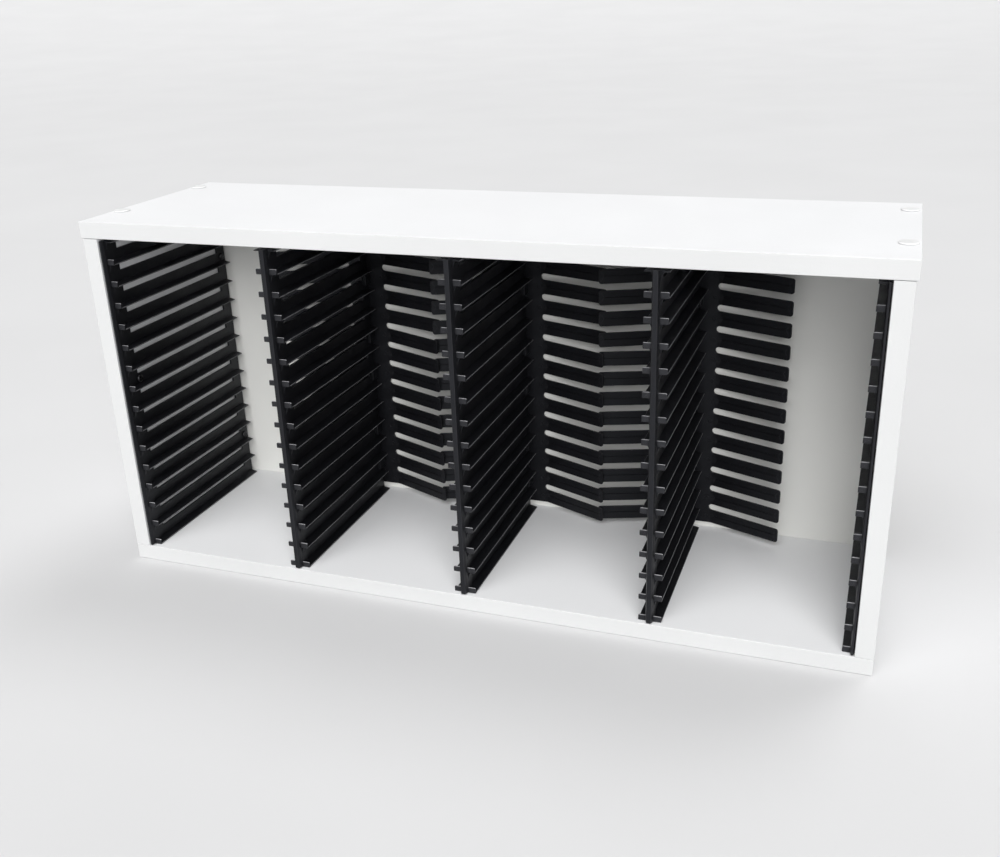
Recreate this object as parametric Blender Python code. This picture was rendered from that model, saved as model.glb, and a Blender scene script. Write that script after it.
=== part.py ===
"""CD storage box: a white board case with four bays of black plastic slot rails.

Metres, +Z up, front towards -Y, origin at the middle of the underside.
"""
import bisect
import math

import bmesh
import bpy
from mathutils import Matrix, Vector

# Slots
CASE_DEPTH = 0.142          # free depth of a slot behind the lips
SLOTS = 15                  # in one bay
SLOT_PITCH = 0.0162         # from one ledge to the next
BAYS = 4
BAY_PITCH = 0.135           # from one rail's middle to the next
SIDE_INSET = 0.0012         # the outer bays are narrower by this

# Gap that touching pieces keep
FIT_GAP = 0.0003

# Boards
BOARD_T = 0.012
TOP_OVERHANG = 0.0015       # the top board is longer than the case at each end
EDGE_ROUND = 0.0006
BACK_T = 0.003
BACK_INSET = 0.0065         # from the back edges of the boards to the back panel
GROOVE_DEEP = 0.005
HEAD_ROOM = 0.0017          # above the rails

# Rails
RAIL_HALF = 0.008           # from a rail's middle to the outer edge of its ledges
POST_HALF = 0.0025
POST_PROUD = 0.0038         # the post stands in front of the lips
POST_DEEP = 0.0120
POST_ROUND = 0.0009
SIDE_POST_W = 0.0027
WEB_HALF = 0.0015
SETBACK = 0.0003            # from the front edges of the boards to the post
LEDGE_T = 0.002
LIP_T = 0.0015
LIP_H = 0.004
GUSSET_T = 0.002
GUSSET_W = 0.0018
SIDE_GUSSET_W = 0.0010
GUSSET_H = 0.0070
GUSSET_STEPS = 3
GUSSET_HOLLOW = 2.2         # power of the curve of its edge
WINDOW_H = 0.0067           # open strip in the web under each ledge
WINDOW_SETBACK = 0.0124     # from the back of the lips
WINDOW_REAR = 0.011         # web left behind the windows
LEDGE_REAR = 0.0021         # ledges stop this far from the comb
PEG_LONG = 0.008
PEG_TALL = 0.006
PEG_SETBACK = 0.018         # from the window's front end to the front peg

# Spring combs
FINGER_ROOM = 0.0040        # from that depth to the comb
COMB_T = 0.0014
COMB_CLEAR = 0.0015         # room to bend behind the comb
HINGE_OUT = 0.01275         # from a rail's middle to the line where fingers bend
ROOT_OUT = 0.00185          # from there to the ends of the slots between fingers
ROOT_CURVE = 0.0016
ROOT_POINTS = 4
FINGER_PAST = 0.0025        # tips reach past the middle of the bay
FINGER_TALL = 0.0111
FINGER_LIFT = 0.0048        # from the rail's foot to the lowest finger
TIP_ROUND = 0.0018
KNUCKLE_HALF = 0.00025
KNUCKLE_TAPER = 0.00045
FREE_ANGLE = math.radians(20.4)
REAR_ANGLE = math.radians(18.5)
CROSS_GAP = 0.0005          # between two fingers where they cross
CROSSING_ROW = 9            # from this row up the right-hand fingers lie in front

# Bosses that hold the combs on the dividers
BOSS_HALF = 0.004
BOSS_DEEP = 0.009
BOSS_ROWS = (1, 3, 6, 8, 11, 14)
BOSS_SCREW_ROWS = (3, 11)

# Case screws and their caps
SCREW_FRONT = 0.040         # from the front edges to the front screws
SCREW_BACK = 0.025          # from the back edges to the back screws
SCREW_R = 0.0025
SCREW_LONG = 0.042
SCREW_POINT = 0.003
SCREW_HEAD_R = 0.0047
SCREW_HEAD_T = 0.004
SCREW_SUNK = 0.0006
SOCKET_R = 0.0024
SOCKET_DEEP = 0.0022
CAP_R = 0.006
CAP_T = 0.0008
CAP_CROWN = 0.0003
CAP_SHOULDER = 0.7          # share of its radius at which the crown falls away
CAP_SHOULDER_H = 0.6        # share of the crown left there
CAP_STEM_R = 0.0018
CAP_STEM_LONG = 0.0022

# Small screws
SMALL_R = 0.0014
SMALL_LONG = 0.0095
SMALL_POINT = 0.002
SMALL_HEAD_R = 0.003
SMALL_HEAD_T = 0.0014
SMALL_CROWN = 0.6           # share of the head's radius that is flat
SMALL_RIM = 0.4             # share of the head's height that is straight
RAIL_SCREW_FRONT = 0.019    # from the front edges
RAIL_SCREW_BACK = 0.0055    # from the rail's back edge
RAIL_SCREW_ROWS = {"front": 8, "upper_back": 12, "lower_back": 2}
RAIL_SCREW_LIFT = 0.0057    # from the ledge's underside

SEGMENTS = 12
FAR = 1.0                   # longer than anything that it cuts
CLOSE = 1e-6                # lengths this near are the same
FLAT = math.radians(0.5)    # faces this near to one plane are one face

# Depths from the front edges of the boards
LIP_Y = SETBACK + POST_PROUD
STOP_Y = LIP_Y + LIP_T
COMB_Y = STOP_Y + CASE_DEPTH + FINGER_ROOM
RAIL_END_Y = COMB_Y - FIT_GAP
BACK_Y = COMB_Y + COMB_T + COMB_CLEAR
BOX_DEEP = BACK_Y + BACK_T + BACK_INSET

# Heights and widths
RAIL_Z = BOARD_T + FIT_GAP
RAIL_TALL = SLOTS * SLOT_PITCH + LEDGE_T
BOX_TALL = RAIL_Z + RAIL_TALL + HEAD_ROOM + BOARD_T
ROOF_Z = BOX_TALL - BOARD_T
INNER_HALF = BAYS * BAY_PITCH / 2 - SIDE_INSET
OUTER_HALF = INNER_HALF + BOARD_T

# Fingers
BEND_OUT = HINGE_OUT + ROOT_OUT + ROOT_CURVE
FINGER_LONG = (BAY_PITCH / 2 + FINGER_PAST - BEND_OUT) / math.cos(FREE_ANGLE)
FRONT_ANGLE = math.atan2(FINGER_LONG * math.sin(REAR_ANGLE) + (COMB_T + CROSS_GAP) / math.cos(REAR_ANGLE),
                         BAY_PITCH - 2 * BEND_OUT - FINGER_LONG * math.cos(REAR_ANGLE))

WHITE = (0.86, 0.87, 0.87)
BLACK = (0.012, 0.012, 0.014)
STEEL = (0.55, 0.55, 0.56)


def ledge_z(row):
    """Underside of a ledge; row SLOTS is the bar across the top."""
    return RAIL_Z + row * SLOT_PITCH


def clear_scene():
    for item in list(bpy.data.objects):
        bpy.data.objects.remove(item)


def make_material(name, colour, roughness, metallic=0.0):
    material = bpy.data.materials.new(name)
    material.use_nodes = True
    shader = material.node_tree.nodes["Principled BSDF"]
    shader.inputs["Base Color"].default_value = (*colour, 1.0)
    shader.inputs["Roughness"].default_value = roughness
    shader.inputs["Metallic"].default_value = metallic
    return material


def add_object(name, bm, look, origin=(0.0, 0.0, 0.0)):
    """Mesh given from the front edge backwards in Y; the object sits about the middle."""
    place = Vector(origin)
    bmesh.ops.translate(bm, verts=bm.verts, vec=-place)
    bmesh.ops.recalc_face_normals(bm, faces=bm.faces)
    mesh = bpy.data.meshes.new(name)
    bm.to_mesh(mesh)
    bm.free()
    item = bpy.data.objects.new(name, mesh)
    item.location = place - Vector((0.0, BOX_DEEP / 2, 0.0))
    bpy.context.collection.objects.link(item)
    if look:
        mesh.materials.append(make_material(name, *look))
    return item


# Solids made of boxes

def box(x0, x1, y0, y1, z0, z1):
    return ((min(x0, x1), max(x0, x1)), (y0, y1), (z0, z1))


def grid_lines(boxes, axis):
    values = sorted(v for b in boxes for v in b[axis])
    lines = []
    for v in values:
        if not lines or v - lines[-1] > CLOSE:
            lines.append(v)
    return lines


def span(lines, low, high):
    return range(bisect.bisect_left(lines, low - CLOSE), bisect.bisect_left(lines, high - CLOSE))


def solid_of_boxes(adds, cuts=()):
    """One closed mesh of the boxes added, less the boxes cut."""
    lines = [grid_lines(adds, axis) for axis in range(3)]
    for b in cuts:
        for axis in range(3):
            inside = [v for v in b[axis] if lines[axis][0] < v < lines[axis][-1]]
            lines[axis] = grid_lines([{axis: lines[axis] + inside}], axis)
    filled = set()
    for sign, boxes in ((True, adds), (False, cuts)):
        for b in boxes:
            cells = [span(lines[axis], *b[axis]) for axis in range(3)]
            block = {(i, j, k) for i in cells[0] for j in cells[1] for k in cells[2]}
            filled = filled | block if sign else filled - block
    bm = bmesh.new()
    corners = {}

    def corner(index):
        if index not in corners:
            corners[index] = bm.verts.new([lines[a][index[a]] for a in range(3)])
        return corners[index]

    for cell in sorted(filled):
        for axis in range(3):
            for side in (0, 1):
                beside = list(cell)
                beside[axis] += 2 * side - 1
                if tuple(beside) in filled:
                    continue
                u, v = (axis + 1) % 3, (axis + 2) % 3
                ring = []
                for du, dv in ((0, 0), (1, 0), (1, 1), (0, 1)):
                    index = list(cell)
                    index[axis] += side
                    index[u] += du
                    index[v] += dv
                    ring.append(corner(tuple(index)))
                bm.faces.new(ring if side else ring[::-1])
    return bm


def join_flat_faces(bm):
    bmesh.ops.dissolve_limit(bm, angle_limit=FLAT, verts=bm.verts, edges=bm.edges)


def round_edges(bm, test, radius, segments=2):
    chosen = [e for e in bm.edges if all(test(v.co) for v in e.verts)]
    bmesh.ops.bevel(bm, geom=chosen, offset=radius, segments=segments, profile=0.5,
                    affect="EDGES", clamp_overlap=True)


def near(a, b):
    return abs(a - b) < CLOSE


# Turned pieces

def add_turned(bm, profile, place):
    """Turn a profile of (radius, height) about an axis; its ends lie on the axis."""
    rings = []
    for radius, height in profile:
        if radius < CLOSE:
            rings.append([bm.verts.new(place @ Vector((0.0, 0.0, height)))])
            continue
        ring = []
        for step in range(SEGMENTS):
            turn = 2 * math.pi * step / SEGMENTS
            ring.append(bm.verts.new(place @ Vector((radius * math.cos(turn),
                                                     radius * math.sin(turn), height))))
        rings.append(ring)
    for low, high in zip(rings, rings[1:]):
        for step in range(SEGMENTS):
            after = (step + 1) % SEGMENTS
            face = [low[step % len(low)]]
            if len(low) > 1:
                face.append(low[after])
            if len(high) > 1:
                face.append(high[after])
            face.append(high[step % len(high)])
            bm.faces.new(face)


def turned(name, profile, place, look):
    bm = bmesh.new()
    add_turned(bm, profile, place)
    return add_object(name, bm, look, place.translation)


def pointing(point, direction):
    """Axis that starts at a point and runs in a direction."""
    turn = Vector((0.0, 0.0, 1.0)).rotation_difference(Vector(direction))
    return Matrix.Translation(point) @ turn.to_matrix().to_4x4()


def drill(item, tools):
    """Cut turned holes, each given as a profile and an axis."""
    bm = bmesh.new()
    for profile, place in tools:
        add_turned(bm, profile, place)
    cutter = add_object(item.name + "_holes", bm, None)
    cutter.hide_render = True
    cutter.display_type = "WIRE"
    cut = item.modifiers.new("Holes", "BOOLEAN")
    cut.operation = "DIFFERENCE"
    cut.solver = "EXACT"
    cut.object = cutter


def plain_hole(radius, start, end):
    return [(0.0, start), (radius, start), (radius, end), (0.0, end)]


# Case screws: profiles run from the head's outer face, at zero, into the board

def case_screw_profile():
    end = SCREW_HEAD_T + SCREW_LONG
    return [(0.0, SOCKET_DEEP), (SOCKET_R, SOCKET_DEEP), (SOCKET_R, 0.0), (SCREW_HEAD_R, 0.0),
            (SCREW_HEAD_R, SCREW_HEAD_T), (SCREW_R, SCREW_HEAD_T),
            (SCREW_R, end - SCREW_POINT), (0.0, end)]


def case_screw_hole():
    seat = SCREW_HEAD_T + FIT_GAP
    head, shank = SCREW_HEAD_R + FIT_GAP, SCREW_R + FIT_GAP
    return [(0.0, -FAR), (head, -FAR), (head, seat), (shank, seat), (shank, FAR), (0.0, FAR)]


def case_screw_pilot():
    return plain_hole(SCREW_R + FIT_GAP, -FAR, SCREW_HEAD_T + SCREW_LONG + FIT_GAP)


def case_screw_axes(top):
    """Names and axes of the four screws through the top or the bottom board."""
    axes = {}
    height = BOX_TALL - SCREW_SUNK if top else SCREW_SUNK
    for side, sign in (("left", -1), ("right", 1)):
        for end, depth in (("front", SCREW_FRONT), ("back", BOX_DEEP - SCREW_BACK)):
            point = (sign * (INNER_HALF + BOARD_T / 2), depth, height)
            axes[side + "_" + end] = pointing(point, (0.0, 0.0, -1.0 if top else 1.0))
    return axes


def make_case_screws():
    for level, top in (("top", True), ("bottom", False)):
        for spot, axis in case_screw_axes(top).items():
            turned(f"{level}_{spot}_screw", case_screw_profile(), axis, (STEEL, 0.35, 1.0))


def make_caps():
    seat = -SCREW_SUNK - FIT_GAP
    crown = seat - CAP_T
    for spot, axis in case_screw_axes(True).items():
        profile = [(0.0, crown - CAP_CROWN), (CAP_R * CAP_SHOULDER, crown - CAP_CROWN * CAP_SHOULDER_H),
                   (CAP_R, crown), (CAP_R, seat), (CAP_STEM_R, seat),
                   (CAP_STEM_R, seat + CAP_STEM_LONG), (0.0, seat + CAP_STEM_LONG)]
        turned(f"{spot}_cap", profile, axis, (WHITE, 0.4))


# Small screws: profiles run from the seat under the head

def small_screw_profile():
    return [(0.0, -SMALL_HEAD_T), (SMALL_HEAD_R * SMALL_CROWN, -SMALL_HEAD_T),
            (SMALL_HEAD_R, -SMALL_HEAD_T * SMALL_RIM), (SMALL_HEAD_R, 0.0), (SMALL_R, 0.0),
            (SMALL_R, SMALL_LONG - SMALL_POINT), (0.0, SMALL_LONG)]


def small_screw_hole():
    return plain_hole(SMALL_R + FIT_GAP, -SMALL_HEAD_T, SMALL_LONG + FIT_GAP)


def rail_screw_axes(sign):
    """Screws through a side rail's web into its side panel; sign is -1 on the left."""
    axes = {}
    seat = sign * (INNER_HALF - FIT_GAP - WEB_HALF - FIT_GAP)
    for spot, row in RAIL_SCREW_ROWS.items():
        depth = RAIL_SCREW_FRONT if spot == "front" else RAIL_END_Y - RAIL_SCREW_BACK
        axes[spot] = pointing((seat, depth, ledge_z(row) + RAIL_SCREW_LIFT), (sign, 0.0, 0.0))
    return axes


def boss_z(row):
    return ledge_z(row) + (LEDGE_T + SLOT_PITCH) / 2


def back_screw_axes(x):
    """Screws through the back panel into a divider's bosses."""
    seat = BACK_Y + BACK_T + FIT_GAP
    return {place: pointing((x, seat, boss_z(row)), (0.0, -1.0, 0.0))
            for place, row in zip(("lower", "upper"), BOSS_SCREW_ROWS)}


def make_small_screws():
    for side, sign in (("left", -1), ("right", 1)):
        for spot, axis in rail_screw_axes(sign).items():
            turned(f"{side}_rail_{spot}_screw", small_screw_profile(), axis, (STEEL, 0.35, 1.0))
    for name, x in DIVIDERS.items():
        for spot, axis in back_screw_axes(x).items():
            turned(f"{name}_divider_{spot}_screw", small_screw_profile(), axis, (STEEL, 0.35, 1.0))


# Boards

BOARD_LOOK = (WHITE, 0.38)
DIVIDERS = {name: (i + 1 - BAYS / 2) * BAY_PITCH
            for i, name in enumerate(("left", "middle", "right"))}


def groove():
    """Room for the back panel in the boards round it."""
    reach = INNER_HALF + GROOVE_DEEP
    return box(-reach, reach, BACK_Y - FIT_GAP, BACK_Y + BACK_T + FIT_GAP,
               BOARD_T - GROOVE_DEEP, ROOF_Z + GROOVE_DEEP)


def peg_depths():
    front = STOP_Y + WINDOW_SETBACK + PEG_SETBACK
    back = RAIL_END_Y - WINDOW_REAR - PEG_LONG
    return front, back


def peg_pockets():
    pockets = []
    half = WEB_HALF + FIT_GAP
    for x in DIVIDERS.values():
        for depth in peg_depths():
            pockets.append(box(x - half, x + half, depth - FIT_GAP, depth + PEG_LONG + FIT_GAP,
                               BOARD_T - PEG_TALL, BOARD_T))
    return pockets


def make_flat_board(name, half, low, cuts, axes):
    bm = solid_of_boxes([box(-half, half, 0.0, BOX_DEEP, low, low + BOARD_T)], cuts)
    join_flat_faces(bm)

    def outer(co):
        return (near(abs(co.x), half) and (near(co.y, 0.0) or near(co.y, BOX_DEEP))
                and (near(co.z, low) or near(co.z, low + BOARD_T)))

    round_edges(bm, outer, EDGE_ROUND)
    item = add_object(name, bm, BOARD_LOOK)
    drill(item, [(case_screw_hole(), axis) for axis in axes.values()])


def make_side_board(side, sign):
    inner, outer = sign * INNER_HALF, sign * OUTER_HALF
    low, high = BOARD_T + FIT_GAP, ROOF_Z - FIT_GAP
    bm = solid_of_boxes([box(inner, outer, 0.0, BOX_DEEP, low, high)], [groove()])
    join_flat_faces(bm)

    for x in (inner, outer):
        round_edges(bm, lambda co: near(co.x, x) and near(co.y, 0.0), EDGE_ROUND)
    item = add_object(side + "_side_panel", bm, BOARD_LOOK)
    tools = [(small_screw_hole(), axis) for axis in rail_screw_axes(sign).values()]
    for top in (True, False):
        tools += [(case_screw_pilot(), axis) for spot, axis in case_screw_axes(top).items()
                  if spot.startswith(side)]
    drill(item, tools)


def make_back_panel():
    reach = INNER_HALF + GROOVE_DEEP - FIT_GAP
    low = BOARD_T - GROOVE_DEEP + FIT_GAP
    high = ROOF_Z + GROOVE_DEEP - FIT_GAP
    bm = solid_of_boxes([box(-reach, reach, BACK_Y, BACK_Y + BACK_T, low, high)])
    item = add_object("back_panel", bm, (WHITE, 0.45))
    drill(item, [(small_screw_hole(), axis) for x in DIVIDERS.values()
                 for axis in back_screw_axes(x).values()])


def make_boards():
    make_flat_board("top_panel", OUTER_HALF + TOP_OVERHANG, ROOF_Z, [groove()], case_screw_axes(True))
    make_flat_board("bottom_panel", OUTER_HALF, 0.0, [groove(), *peg_pockets()], case_screw_axes(False))
    make_side_board("left", -1)
    make_side_board("right", 1)
    make_back_panel()


# Rails

RAIL_LOOK = (BLACK, 0.42)


def rail_boxes(x0, sides, post_half, gusset_w):
    """Boxes of a rail about its middle x0, with ledges towards each of the sides."""
    low, high = RAIL_Z, RAIL_Z + RAIL_TALL
    gusset_y = STOP_Y + GUSSET_T
    reach = {-1: 0.0, 1: 0.0}
    for sign, length in sides.items():
        reach[sign] = length

    def across(half, y0, y1, z0, z1):
        left = x0 - (half if reach[-1] else 0.0)
        right = x0 + (half if reach[1] else 0.0)
        return box(left, right, y0, y1, z0, z1)

    adds = [across(post_half, SETBACK, SETBACK + POST_DEEP, low, high),
            across(WEB_HALF, LIP_Y, RAIL_END_Y, low, high)]
    cuts = []
    ledge_end = RAIL_END_Y - LEDGE_REAR
    for row in range(SLOTS + 1):
        z = ledge_z(row)
        adds.append(box(x0 - reach[-1], x0 + reach[1], LIP_Y, ledge_end, z, z + LEDGE_T))
        if row < SLOTS:
            adds.append(box(x0 - reach[-1], x0 + reach[1], LIP_Y, STOP_Y, z, z + LIP_H))
        if row:
            cuts.append(across(WEB_HALF, STOP_Y + WINDOW_SETBACK, RAIL_END_Y - WINDOW_REAR,
                               z - WINDOW_H, z))
            for sign in sides:
                for step in range(GUSSET_STEPS):
                    top = z - GUSSET_H * step / GUSSET_STEPS
                    adds.append(box(x0 + sign * post_half, x0 + sign * (post_half + gusset_w),
                                    STOP_Y, gusset_y, top - GUSSET_H / GUSSET_STEPS, top))
    return adds, cuts


def shape_gussets(bm, x0, post_half, gusset_w):
    """Draw the stepped gussets under the ledges in to a hollow curve."""
    for v in bm.verts:
        out = abs(v.co.x - x0) - post_half
        in_depth = STOP_Y - CLOSE < v.co.y < STOP_Y + GUSSET_T + CLOSE
        if not in_depth or not CLOSE < out < gusset_w + CLOSE:
            continue
        row = math.ceil((v.co.z - RAIL_Z - CLOSE) / SLOT_PITCH)
        down = ledge_z(row) - v.co.z
        if CLOSE < down < GUSSET_H + CLOSE:
            keep = max(0.0, 1 - down / GUSSET_H) ** GUSSET_HOLLOW
            v.co.x = x0 + math.copysign(post_half + out * keep, v.co.x - x0)
    bmesh.ops.remove_doubles(bm, verts=bm.verts, dist=CLOSE)


def make_rail(name, x0, sides, post_half, gusset_w, extra=()):
    adds, cuts = rail_boxes(x0, sides, post_half, gusset_w)
    bm = solid_of_boxes(adds + list(extra), cuts)
    shape_gussets(bm, x0, post_half, gusset_w)
    join_flat_faces(bm)
    round_edges(bm, lambda co: near(co.y, SETBACK), POST_ROUND)
    return add_object(name, bm, RAIL_LOOK)


def make_side_rails():
    for side, sign in (("left", -1), ("right", 1)):
        x0 = sign * (INNER_HALF - FIT_GAP)
        rail = make_rail(side + "_side_rail", x0, {-sign: RAIL_HALF - FIT_GAP}, SIDE_POST_W, SIDE_GUSSET_W)
        drill(rail, [(small_screw_hole(), axis) for axis in rail_screw_axes(sign).values()])


def divider_extras(x):
    extras = []
    for row in BOSS_ROWS:
        extras.append(box(x - BOSS_HALF, x + BOSS_HALF, RAIL_END_Y - BOSS_DEEP, BACK_Y - FIT_GAP,
                          boss_z(row) - BOSS_HALF, boss_z(row) + BOSS_HALF))
    for depth in peg_depths():
        extras.append(box(x - WEB_HALF, x + WEB_HALF, depth, depth + PEG_LONG,
                          RAIL_Z - PEG_TALL, RAIL_Z))
    return extras


def make_divider_rails():
    for name, x in DIVIDERS.items():
        rail = make_rail(name + "_divider_rail", x, {-1: RAIL_HALF, 1: RAIL_HALF}, POST_HALF,
                         GUSSET_W, divider_extras(x))
        drill(rail, [(small_screw_hole(), axis) for axis in back_screw_axes(x).values()])


# Spring combs

def finger_z(row):
    return RAIL_Z + FINGER_LIFT + row * SLOT_PITCH


def make_spines():
    half = HINGE_OUT - FIT_GAP / 2
    hole = BOSS_HALF + FIT_GAP
    for name, x in DIVIDERS.items():
        adds = [box(x - half, x + half, COMB_Y, COMB_Y + COMB_T,
                    finger_z(0), finger_z(SLOTS - 1) + FINGER_TALL)]
        cuts = [box(x - hole, x + hole, COMB_Y, COMB_Y + COMB_T, boss_z(row) - hole, boss_z(row) + hole)
                for row in BOSS_ROWS]
        bm = solid_of_boxes(adds, cuts)
        join_flat_faces(bm)
        add_object(name + "_comb_spine", bm, RAIL_LOOK)


def finger_outline():
    """One finger's edge beyond its bend, as (along, up), from its lower to its upper corner."""
    corner = []
    for step in range(3):
        turn = math.pi / 4 * step
        corner.append((FINGER_LONG - TIP_ROUND * (1 - math.sin(turn)), TIP_ROUND * (1 - math.cos(turn))))
    upper = [(along, FINGER_TALL - up) for along, up in reversed(corner)]
    return corner + upper


def slot_root():
    """Rounded end of the slot between two fingers, as (inwards from the bend, down), upwards."""
    gap = SLOT_PITCH - FINGER_TALL
    turns = [math.pi * step / ROOT_POINTS for step in range(1, ROOT_POINTS)]
    return [(ROOT_CURVE * math.sin(turn), gap / 2 * (1 + math.cos(turn))) for turn in turns]


def finger_face(bm, vert, face, angles):
    """One face of the strip and its fingers; the verts round it, from the strip's inner edge."""
    half = COMB_T / 2
    inner = HINGE_OUT + FIT_GAP / 2 + KNUCKLE_TAPER
    strip = [vert(inner, face * half, z) for z in (finger_z(SLOTS - 1) + FINGER_TALL, finger_z(0))]
    around = list(strip)
    for row, angle in enumerate(angles):
        start = BEND_OUT + face * half * math.tan(angle / 2)
        finger = [vert(start, face * half, finger_z(row))]
        for along, up in finger_outline():
            finger.append(vert(BEND_OUT + along * math.cos(angle) + face * half * math.sin(angle),
                               face * half * math.cos(angle) - along * math.sin(angle), finger_z(row) + up))
        finger.append(vert(start, face * half, finger_z(row) + FINGER_TALL))
        bm.faces.new(finger)
        root = []
        if row < SLOTS - 1:
            root = [vert(BEND_OUT - out, face * half, finger_z(row + 1) - down) for out, down in slot_root()]
        around += finger + root
        strip += [finger[0], finger[-1]] + root
    bm.faces.new(strip)
    return around


def make_fingers(name, x, sign, angles):
    """A row of fingers at one side of a spine, joined by the strip that they bend on."""
    bm = bmesh.new()
    middle = COMB_Y + COMB_T / 2

    def vert(out, back, z):
        return bm.verts.new((x + sign * out, middle + back, z))

    front, rear = (finger_face(bm, vert, face, angles) for face in (-1, 1))
    for i in range(1, len(front)):
        after = (i + 1) % len(front)
        bm.faces.new((front[i], front[after], rear[after], rear[i]))
    low, high = finger_z(0), finger_z(SLOTS - 1) + FINGER_TALL
    edge = HINGE_OUT + FIT_GAP / 2
    knuckle = [[vert(edge, face * KNUCKLE_HALF, z) for z in (high, low)] for face in (-1, 1)]
    bm.faces.new((knuckle[0][0], knuckle[0][1], knuckle[1][1], knuckle[1][0]))
    for side, around in zip(knuckle, (front, rear)):
        bm.faces.new((side[0], side[1], around[1], around[0]))
    for end in (0, 1):
        bm.faces.new((knuckle[0][end], knuckle[1][end], rear[end], front[end]))
    return add_object(name, bm, RAIL_LOOK, (x + sign * HINGE_OUT, middle, low))


def crossing_angles(right_hand):
    """Fingers of two combs that cross: one lies in front in the lower rows, one in the upper."""
    upper, lower = (FRONT_ANGLE, REAR_ANGLE) if right_hand else (REAR_ANGLE, FRONT_ANGLE)
    return [upper if row >= CROSSING_ROW else lower for row in range(SLOTS)]


def make_combs():
    make_spines()
    names = list(DIVIDERS)
    for i, name in enumerate(names):
        for side, sign in (("left", -1), ("right", 1)):
            alone = (i == 0 and sign < 0) or (i == len(names) - 1 and sign > 0)
            angles = [FREE_ANGLE] * SLOTS if alone else crossing_angles(sign < 0)
            make_fingers(f"{name}_comb_{side}_fingers", DIVIDERS[name], sign, angles)


def main():
    clear_scene()
    make_boards()
    make_side_rails()
    make_divider_rails()
    make_combs()
    make_case_screws()
    make_caps()
    make_small_screws()


main()
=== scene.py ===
import math

import bmesh
import bpy
from mathutils import Matrix, Vector
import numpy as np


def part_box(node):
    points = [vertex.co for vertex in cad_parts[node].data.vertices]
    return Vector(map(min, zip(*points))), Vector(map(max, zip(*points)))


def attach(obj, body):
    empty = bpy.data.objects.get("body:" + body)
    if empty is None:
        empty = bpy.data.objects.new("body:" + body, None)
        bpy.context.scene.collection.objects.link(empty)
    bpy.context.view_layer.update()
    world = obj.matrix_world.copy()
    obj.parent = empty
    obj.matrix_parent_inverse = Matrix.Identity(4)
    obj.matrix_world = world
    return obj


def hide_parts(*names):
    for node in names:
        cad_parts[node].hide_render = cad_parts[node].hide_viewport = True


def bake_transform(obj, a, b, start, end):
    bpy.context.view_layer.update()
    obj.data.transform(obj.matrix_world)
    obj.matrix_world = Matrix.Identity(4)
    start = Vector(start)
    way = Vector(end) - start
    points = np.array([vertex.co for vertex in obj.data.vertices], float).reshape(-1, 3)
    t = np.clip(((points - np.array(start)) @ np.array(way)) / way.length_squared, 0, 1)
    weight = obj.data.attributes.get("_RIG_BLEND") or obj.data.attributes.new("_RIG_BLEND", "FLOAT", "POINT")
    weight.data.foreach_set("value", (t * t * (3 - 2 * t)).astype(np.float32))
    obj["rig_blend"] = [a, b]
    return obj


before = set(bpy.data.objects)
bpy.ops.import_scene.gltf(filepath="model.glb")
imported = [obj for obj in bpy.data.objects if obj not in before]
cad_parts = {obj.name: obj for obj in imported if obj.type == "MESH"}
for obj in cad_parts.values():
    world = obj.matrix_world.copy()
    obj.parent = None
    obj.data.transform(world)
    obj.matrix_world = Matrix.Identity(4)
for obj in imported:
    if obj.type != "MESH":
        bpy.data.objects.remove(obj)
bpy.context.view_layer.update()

X, Y, Z = Vector((1, 0, 0)), Vector((0, 1, 0)), Vector((0, 0, 1))

# Sizes of the solids, in metres; depths run back from the front edges of the boards
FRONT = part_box("bottom_panel")[0].y
SIDES = {"left": -1, "right": 1}
DIVIDERS = ("left", "middle", "right")
SLOTS = 15
SLOT_PITCH = 0.0162
FIT_GAP = 0.0003
GROOVE_DEEP = 0.005
POST_HALF = 0.0025
POST_DEEP = 0.0120
SIDE_POST_W = 0.0027
WEB_HALF = 0.0015
LIP_Y = 0.0041
LIP_T = 0.0015
LIP_H = 0.004
LEDGE_T = 0.002
LEDGE_REAR = 0.0021
GUSSET_T = 0.002
GUSSET_W = 0.0018
SIDE_GUSSET_W = 0.0010
GUSSET_H = 0.0070
GUSSET_HOLLOW = 2.2
WINDOW_H = 0.0067
WINDOW_SETBACK = 0.0124
WINDOW_REAR = 0.011
BOSS_HALF = 0.004
BOSS_DEEP = 0.009
BOSS_ROWS = (1, 3, 6, 8, 11, 14)
HINGE_OUT = 0.01275
SLOT_ROOT = 0.0146
BEND_OUT = 0.0162
FINGER_LONG = 0.05740
FINGER_TALL = 0.0111
TIP_ROUND = 0.0018
FREE_ANGLE = math.radians(20.4)
REAR_ANGLE = math.radians(18.5)
FRONT_ANGLE = math.radians(22.77)
CROSSING_ROW = 9

# Finish of the edges
ARC_STEPS = 4
FILLET_STEPS = 3
GUSSET_STEPS = 8
SMOOTH_COS = math.cos(math.radians(38))
FACE_COS = 0.9
BOARD_ROUND = 0.0005
POST_CHAMFER = 0.0009
POST_SLANT = 0.0024
POST_TIP = 0.0010
LIP_ROUND = 0.0008
LIP_EDGE = 0.00045
LEDGE_EDGE = 0.0006
LEDGE_NOSE = LEDGE_EDGE / 2
LEDGE_UNDER = LEDGE_EDGE / 3
PLASTIC_ROUND = 0.0003

# Edge marks, kept on the verts as "rim": up to 1 on a plain edge, which is lighter from wear and painted
# highlight; more where a bright highlight is painted on
LIP_PAINTED_HIGHLIGHT = 4.0
LIP_FACE_WEAR_AND_SHEEN = 0.6
LEDGE_PAINTED_HIGHLIGHT = 2.8
PAINTED_HIGHLIGHT_END = 0.0001


# Loops are drawn in (u, v), counter-clockwise; a third number marks the middle of each rounded corner

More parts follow.
